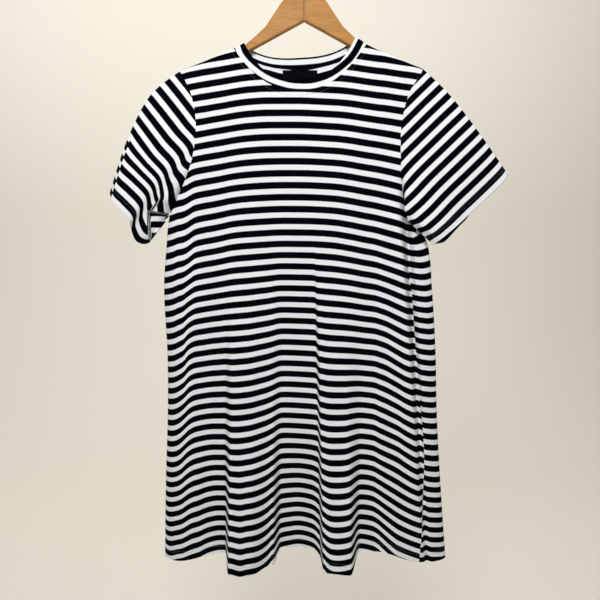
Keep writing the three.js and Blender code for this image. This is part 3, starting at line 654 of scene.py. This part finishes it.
# lift of the top line and where it is greatest, parting of the layers, hang of the front layer, way of the
# lift, and how far the back layer shows below the front one and the underarm fold lies over the body
LEFT_SLEEVE = dict(
    cuff=LEFT_CUFF, crown=24, crown_at=0.33, swell=7, sag=6, way=(-0.86, 0, 0.51), show=(0, 0, 0),
    lip=(0, 0, 0))
RIGHT_SLEEVE = dict(
    cuff=RIGHT_CUFF, crown=8, crown_at=0.35, swell=5, sag=12, way=(0.75, 0, 0.66), show=(5, 0, -6),
    lip=(-17, -21, -3))
SLEEVE_ROWS, ARMHOLE_POINTS = 120, 121
# the fold in the left sleeve, as ends of lines (x, z): the flap behind its front layer, and the gusset
# behind the flap
FLAP_LINE = ((-234.3, -390.9), (-253.6, -412.4))
GUSSET_LINE = ((-220.6, -422.0), (-252.2, -417.2))
GUSSET_LEFT, FOLD_STEP = -260.0, 8.0
FLAP_SHIFT, GUSSET_SHIFT = 234.5, 431.6  # of the stripes there, from their place and their level
STRIPE_BEND, STRIPE_LOBE = 14.0, 7.0  # of the left sleeve's stripes away from the cuff, and beside it
STRIP_WIDE, STRIP_SHIFT = 15.0, 8.0  # the creased strip along the top line, and its stripes' shift
FLAP_SOFT, FLAP_SHARP = 14.0, 1.2  # half width of the flap's edge where it starts, and further down
LEFT_STRETCH, LEFT_START, RIGHT_START = 0.95, 1.6, -0.5  # of the stripes counted from the cuffs


def sleeve_points(side, shape):
    """Ring of columns from the armhole to the cuff, and each column's share of the way down the armhole,
    below 0 on the back layer. A column is the straight line between them, lifted near the top line by a
    quarter sine up and a quarter cosine down, parted by half a sine, and hung over the underarm in front."""
    edge_turn = -1.0 if side == "left" else 1.0
    top = shoulder_z(DRESS_X + edge_turn * SHOULDER_HALF)
    z = mix(top, PIT_Z, np.linspace(0, 1, ARMHOLE_POINTS) ** ROW_POWER)
    turn = np.full(z.shape, edge_turn)
    front_edge, _ = body_points("front", turn, z, 0)
    back_edge, _ = body_points("back", np.where(turn > 0, 1.0, 3.0), z, 0)
    back_edge[..., 0] = front_edge[..., 0]
    along = np.linspace(0, 1, SLEEVE_ROWS + 1)[None, :, None]
    share = ((top - z) / (top - PIT_Z))[:, None, None]
    sides = []
    for layer, edge in (("front", front_edge), ("back", back_edge)):
        cuff = [read(shape["cuff"], "share", share[:, 0, 0], name) for name in ("x", layer, "z")]
        end = np.stack(cuff, -1)
        if layer == "back":
            shown = ease((share - 0.4) / 0.2) * (1 - ease((share - 0.9) / 0.1))
            end = end + np.array(shape["show"]) * shown[:, 0]
        points = mix(edge[:, None], end[:, None], along)
        at = shape["crown_at"]
        rise, fall = along / at * np.pi / 2, (along - at) / (1 - at) * np.pi / 2
        bow = np.where(along < at, np.sin(rise), np.cos(fall))
        points = points + np.array(shape["way"]) * shape["crown"] * bow * (1 - ease(share / 0.75))
        middle = np.sin(np.pi * along)
        out = -1 if layer == "front" else 1
        points[..., 1:2] += out * shape["swell"] * middle * np.sqrt(np.sin(np.pi * clamp(share)))
        if layer == "front":
            hang = shape["sag"] * middle * ease((share - 0.45) / 0.35) * (1 - ease((share - 0.85) / 0.15))
            points[..., 2:3] -= hang
            points[..., 1:2] -= 0.5 * hang
        near_fold = ease((share - 0.65) / 0.35) if layer == "front" else ease((share - 0.85) / 0.15)
        points = points + np.array(shape["lip"]) * near_fold * ease(along / 0.14) * (1 - 0.45 * along)
        sides.append(points)
    ring = np.concatenate([sides[0], sides[1][1:-1][::-1]])
    shares = np.concatenate([share[:, 0, 0], -share[1:-1, 0, 0][::-1]])
    return (ring, shares) if side == "left" else (ring[::-1], shares[::-1])


def beyond(points, line):
    """Distance of points to the left of a line seen from the front, and share of the way along it."""
    (ax, az), (bx, bz) = line
    size = np.hypot(bx - ax, bz - az)
    dx, dz = (bx - ax) / size, (bz - az) / size
    x, z = points[..., 0] - ax, points[..., 2] - az
    return z * dx - x * dz, (x * dx + z * dz) / size


def lengths(points, axis):
    """Length along a grid from its first row or column."""
    steps = np.linalg.norm(np.diff(points, axis=axis), axis=-1)
    return np.concatenate([np.zeros_like(np.take(steps, [0], axis)), np.cumsum(steps, axis)], axis)


def left_folds(points, share, to_cuff):
    """Front layer of the left sleeve: its stripes bend towards the cuff away from the top line, stand
    upright on the flap and level on the gusset, and are shifted on the creased strip along the top line. The
    flap and the gusset are each a step behind what covers them."""
    front = (share >= 0)[:, None]
    share = np.abs(share)[:, None]
    along = np.linspace(0, 1, points.shape[1])[None]
    past_flap, down_flap = beyond(points, FLAP_LINE)
    past_gusset, _ = beyond(points, GUSSET_LINE)
    half_width = mix(FLAP_SOFT, FLAP_SHARP, ease(down_flap / 0.3))
    flap = ease(0.5 + past_flap / (2 * half_width)) * front
    gusset = ease(0.5 + past_gusset / 2) * ease(0.5 + (points[..., 0] - GUSSET_LEFT) / 3) * front
    bend = STRIPE_BEND * ease(share / 0.4) * ease((to_cuff - 40) / 70) * front
    lobe = STRIPE_LOBE * ease((share - 0.5) / 0.15) * (1 - ease((to_cuff - 30) / 30)) * front
    stripes = LEFT_STRETCH * to_cuff + bend + lobe + LEFT_START
    first = points[: int(front.sum())]
    from_top = np.full(to_cuff.shape, np.inf)
    from_top[: len(first)] = lengths(first, 0)
    creased = (1 - ease((from_top - STRIP_WIDE) / 1.4)) * ease((along - 0.55) / 0.1) * front
    stripes = stripes + STRIP_SHIFT * creased
    upright = points[..., 0] + FLAP_SHIFT + 5 * STRIPE
    stripes = mix(stripes, upright, flap * (past_gusset < 1))
    stripes = mix(stripes, points[..., 2] + GUSSET_SHIFT, gusset)
    inner = ease(along / 0.15) * (1 - ease((share - 0.88) / 0.12))
    behind = FOLD_STEP * inner * (flap * ease(down_flap / 0.5) * (past_gusset < 1) + 2 * gusset)
    moved = points.copy()
    moved[..., 1] += behind
    return moved, stripes


def sleeve(side, shape):
    """Sleeve with its stripes by the length of cloth from the cuff, bent on the left sleeve by its folds."""
    points, share = sleeve_points(side, shape)
    to_cuff = lengths(points[:, ::-1], 1)[:, ::-1]
    stripes = to_cuff + RIGHT_START
    if side == "left":
        points, stripes = left_folds(points, share, to_cuff)
    round_cuff = lengths(points[:, -1:], 0)
    uv = np.stack([np.broadcast_to(round_cuff, to_cuff.shape), stripes], -1) / 1000
    piece = wall("sleeve_" + side + "_tube", points, uv, to_cuff, ring=True)
    piece.data.materials.append(striped)
    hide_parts("sleeve_" + side)
    rows = stitch_rows("cuff_stitches_" + side, points, to_cuff, ring=True)


sleeve("left", LEFT_SLEEVE)
sleeve("right", RIGHT_SLEEVE)

# NECKBAND
# A strip of the same jersey folded double round the neck and joined at the right neck point. Its stripes
# follow the strip, and drift outwards along the front towards the right.
BAND_CLOTH, EDGE_HALF = 2.0, 93.5
FRONT_EDGE_DROP, BACK_EDGE_DROP = 65.0, 26.0
BAND_POWER = 2.9  # of the free edge's curve
BAND_COLUMNS = 141  # along each half of the band
BAND_FACE, BAND_ROUND = 10, 7  # points across a face of the band, and round its free edge
# where the dark stripe begins, from the free edge outwards, by the way round from the join
BAND_DRIFT = table("way start", [
    (0, -3.8), (0.25, -3.8), (0.45, -3), (0.5, 0), (0.53, -1.2), (0.56, -3.7), (0.6, -5.9), (0.65, -6.3),
    (0.7, -2.9), (0.75, -1), (0.8, -0.9), (0.85, 0.8), (0.88, 2.8), (0.91, 5), (0.95, 5.6), (1, 5)])


def band_points():
    """Outside of the band, from the join over the back to the left and over the front to the join again: the
    neck seam's curve and the free edge's curve with straight lines between, on the body's depth there."""
    half = np.sin(np.linspace(np.pi / 2, -np.pi / 2, BAND_COLUMNS))
    share = np.concatenate([half, half[::-1][1:]])[:, None]
    front = (np.arange(len(share)) >= len(half))[:, None]
    row = np.linspace(0, 1, BAND_FACE)[None]
    seam_x, edge_x = NECK_X + share * NECK_HALF, NECK_X + share * EDGE_HALF
    curve = 1 - np.abs(share) ** NECK_POWER
    seam_z = neck_z(share, NECK_HALF) - np.where(front, FRONT_NECK_DROP, BACK_NECK_DROP) * curve
    edge_curve = 1 - np.abs(share) ** BAND_POWER
    edge_z = neck_z(share, EDGE_HALF) - np.where(front, FRONT_EDGE_DROP, BACK_EDGE_DROP) * edge_curve
    x, z = mix(seam_x, edge_x, row), mix(seam_z, edge_z, row)
    y = np.where(front, -sheet_depth(x, z, "front"), sheet_depth(x, z, "back"))
    return np.stack([x, y, z], -1)


band_outside = band_points()
band_normal = normals_of(band_outside[:, ::-1])[:, ::-1]
band_inside = band_outside - BAND_CLOTH * band_normal
edge_middle = (band_outside[:, -1] + band_inside[:, -1]) / 2
edge_out = band_outside[:, -1] - edge_middle
edge_way = band_outside[:, -1] - band_outside[:, -2]
edge_way *= BAND_CLOTH / 2 / np.linalg.norm(edge_way, axis=-1, keepdims=True)
turn = np.linspace(0, np.pi, BAND_ROUND)[None, 1:-1, None]
edge_round = edge_middle[:, None] + np.cos(turn) * edge_out[:, None] + np.sin(turn) * edge_way[:, None]
band_loop = np.concatenate([band_outside, edge_round, band_inside[:, ::-1]], 1)
band_across = lengths(band_loop, 1)
band_fold = (band_across[:, BAND_FACE - 1] + band_across[:, BAND_FACE + BAND_ROUND - 2])[:, None] / 2
band_along = lengths(band_outside[:, -1], 0)
band_start = read(BAND_DRIFT, "way", band_along / band_along[-1], "start")[:, None]
band_v = -(band_fold - band_across - band_start)
band_uv = np.stack([np.broadcast_to(band_along[:, None], band_v.shape), band_v], -1) / 1000


def strip_tube(name, loops, uv):
    """Closed tube of a strip: columns along it, and rows round its section, with both ends filled."""
    columns, rows = loops.shape[:2]
    index = np.arange(columns * rows).reshape(columns, rows)
    after = np.roll(index, -1, 1)
    sides = np.stack([index[:-1], after[:-1], after[1:], index[1:]], -1).reshape(-1, 4)
    faces = [*sides.tolist(), index[0][::-1].tolist(), index[-1].tolist()]
    mesh = bpy.data.meshes.new(name)
    mesh.from_pydata(loops.reshape(-1, 3) / 1000, [], faces)
    corners = np.concatenate([np.asarray(face) for face in faces])
    layer = mesh.uv_layers.new(name="cloth")
    layer.data.foreach_set("uv", uv.reshape(-1, 2)[corners].astype(np.float32).ravel())
    mesh.polygons.foreach_set("use_smooth", np.ones(len(faces), bool))
    mesh.set_sharp_from_angle(angle=SHARP)
    piece = bpy.data.objects.new(name, mesh)
    bpy.context.scene.collection.objects.link(piece)
    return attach(piece, "root")


neckband = strip_tube("neckband_strip", band_loop, band_uv)
neckband.data.materials.append(striped)
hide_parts("neckband")

# LABEL
# A blank black woven label sewn in at the back of the neck, on the inside of the back panel.
# It is the frame's own solid.
woven, woven_tree, woven_shader, woven_add = new_material("black_label", 0.9)
woven_place = woven_add("TexCoord")
woven_lines = woven_add("Mapping", {"Vector": woven_place.outputs["Object"], "Scale": (2200, 1, 2600)})
woven_noise = woven_add("TexNoise", {"Vector": woven_lines.outputs[0], "Scale": 1.0})
woven_shader.inputs["Base Color"].default_value = (0.0022, 0.0022, 0.003, 1)
woven_shader.inputs["Specular IOR Level"].default_value = 0.05
woven_bump = woven_add("Bump", {"Strength": 0.2, "Distance": 0.0002, "Height": woven_noise.outputs[0]})
woven_tree.links.new(woven_bump.outputs[0], woven_shader.inputs["Normal"])
dress_node("label", woven)

# STAGE
# A pale floor that sweeps up far behind the hanging dress, and soft light from above in front.
FLOOR_Z, SWEEP_FROM, SWEEP_RADIUS, SWEEP_TOP = -1.75, 2.0, 1.5, 5.0
FLOOR_HALF, FLOOR_FRONT = 9.0, -7.0
bend = np.linspace(-np.pi / 2, 0, 25)
wall_y = SWEEP_FROM + SWEEP_RADIUS
sweep_y = np.concatenate([[FLOOR_FRONT], SWEEP_FROM + SWEEP_RADIUS * np.cos(bend), [wall_y]])
sweep_z = np.concatenate([[FLOOR_Z], FLOOR_Z + SWEEP_RADIUS * (1 + np.sin(bend)), [SWEEP_TOP]])
floor_left = np.stack([np.full(len(sweep_y), -FLOOR_HALF), sweep_y, sweep_z], -1)
floor_points = np.concatenate([floor_left, floor_left * (-1, 1, 1)])
strip = np.arange(len(sweep_y) - 1)
strip_faces = np.stack([strip, strip + len(sweep_y), strip + len(sweep_y) + 1, strip + 1], -1)
floor_mesh = bpy.data.meshes.new("floor")
floor_mesh.from_pydata(floor_points, [], strip_faces.tolist())
floor_mesh.polygons.foreach_set("use_smooth", np.ones(len(strip_faces), bool))
floor = bpy.data.objects.new("floor", floor_mesh)
bpy.context.scene.collection.objects.link(floor)
pale, _, pale_shader, _ = new_material("pale_floor", 0.95)
pale_shader.inputs["Base Color"].default_value = (0.80, 0.755, 0.665, 1)
pale_shader.inputs["Specular IOR Level"].default_value = 0.0
floor.data.materials.append(pale)

world = bpy.data.worlds.new("surround")
world.use_nodes = True
world.node_tree.nodes["Background"].inputs[0].default_value = (0.97, 0.985, 1.0, 1)
world.node_tree.nodes["Background"].inputs[1].default_value = 0.11
bpy.context.scene.world = world
bpy.context.scene.view_settings.view_transform = "Standard"


def soft_light(name, power, size, place, target):
    """Rectangular area light, wide by tall, aimed at a point."""
    data = bpy.data.lights.new(name, "AREA")
    data.shape = "RECTANGLE"
    data.energy = power
    data.size, data.size_y = size
    light = bpy.data.objects.new(name, data)
    light.location = place
    light.rotation_euler = (Vector(target) - Vector(place)).to_track_quat("-Z", "Y").to_euler()
    bpy.context.scene.collection.objects.link(light)


soft_light("key", 29.5, (0.6, 0.6), (-0.15, -1.45, 0.55), (0, 0, -0.45))
soft_light("fill", 0.6, (1.2, 1.2), (1.5, -1.7, 0.2), (0, 0, -0.6))
soft_light("backdrop", 148, (6.0, 2.6), (-0.6, 0.75, 2.1), (-0.4, 3.5, 0.0))

CAMERA_PLACE, CAMERA_DIP = (-0.00702, -1.03, -0.46649), np.radians(5.5)
LENS, SENSOR = 36.12, 36
camera_data = bpy.data.cameras.new("photo_view")
camera_data.lens = LENS
camera_data.sensor_width = SENSOR
camera = bpy.data.objects.new("photo_view", camera_data)
camera.location = CAMERA_PLACE
camera.rotation_euler = (np.pi / 2 - CAMERA_DIP, 0, 0)
bpy.context.scene.collection.objects.link(camera)
bpy.context.scene.camera = camera
